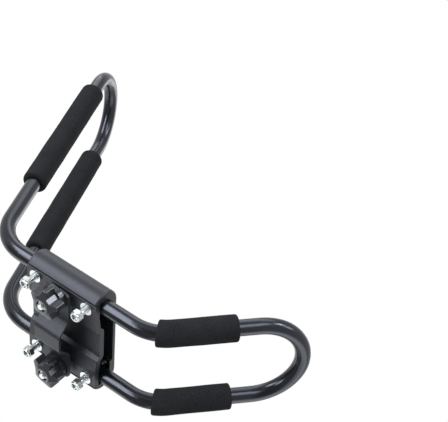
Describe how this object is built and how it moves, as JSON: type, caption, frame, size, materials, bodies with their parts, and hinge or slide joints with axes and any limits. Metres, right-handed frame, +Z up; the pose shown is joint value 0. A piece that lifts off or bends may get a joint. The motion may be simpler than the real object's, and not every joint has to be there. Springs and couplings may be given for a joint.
{
  "type": "kayak carrier",
  "caption": "J-shaped roof rack carrier: a closed loop of bent tube with foam sleeves, held in a pressed bracket that clamps on a crossbar with star knobs.",
  "frame": {"origin": "middle of the base plate's seat face, where the carrier sits on top of the crossbar", "axes": "+X along the crossbar towards the short arm, +Y along the car towards the rear knob, +Z up"},
  "size_m": [0.522, 0.152, 0.4265],
  "materials": {
    "tube_black": "semi-gloss black powder coat on steel tube",
    "bracket_black": "satin black powder coat on pressed steel",
    "foam": "matte black closed-cell foam",
    "knob_plastic": "glossy black moulded plastic",
    "zinc_steel": "bright zinc plated steel"
  },
  "bodies": {
    "carrier": {"tube_loop": "tube_black", "saddle": "bracket_black", "base_plate": "bracket_black", "tall_pad_front": "foam", "short_pad_front": "foam", "tall_pad_rear": "foam", "short_pad_rear": "foam", "clamp_bolt_front": "zinc_steel", "clamp_bolt_rear": "zinc_steel", "fixing_bolt_tall_front": "zinc_steel", "fixing_washer_tall_front": "zinc_steel", "fixing_nut_tall_front": "zinc_steel", "fixing_bolt_tall_rear": "zinc_steel", "fixing_washer_tall_rear": "zinc_steel", "fixing_nut_tall_rear": "zinc_steel", "fixing_bolt_short_front": "zinc_steel", "fixing_washer_short_front": "zinc_steel", "fixing_nut_short_front": "zinc_steel", "fixing_bolt_short_rear": "zinc_steel", "fixing_washer_short_rear": "zinc_steel", "fixing_nut_short_rear": "zinc_steel"},
    "clamp": {"clamp_plate": "bracket_black"},
    "knob_front_body": {"knob_front": "knob_plastic", "knob_insert_front": "zinc_steel"},
    "knob_rear_body": {"knob_rear": "knob_plastic", "knob_insert_rear": "zinc_steel"}
  },
  "joints": [
    {"name": "clamp_slide", "type": "slide", "parent": "carrier", "child": "clamp", "axis": [0, 0, 1], "range_m": [-0.008, 0.0045]},
    {"name": "knob_front_turn", "type": "hinge", "parent": "clamp", "child": "knob_front_body", "pos_m": [0, -0.056, -0.025], "axis": [0, 0, 1], "range_deg": [-2306, 1298]},
    {"name": "knob_rear_turn", "type": "hinge", "parent": "clamp", "child": "knob_rear_body", "pos_m": [0, 0.056, -0.025], "axis": [0, 0, 1], "range_deg": [-2306, 1298]}
  ],
  "couplings": [
    {"joint": "knob_front_turn", "follows": "clamp_slide", "rad_per_m": 5026.5},
    {"joint": "knob_rear_turn", "follows": "clamp_slide", "rad_per_m": 5026.5}
  ]
}
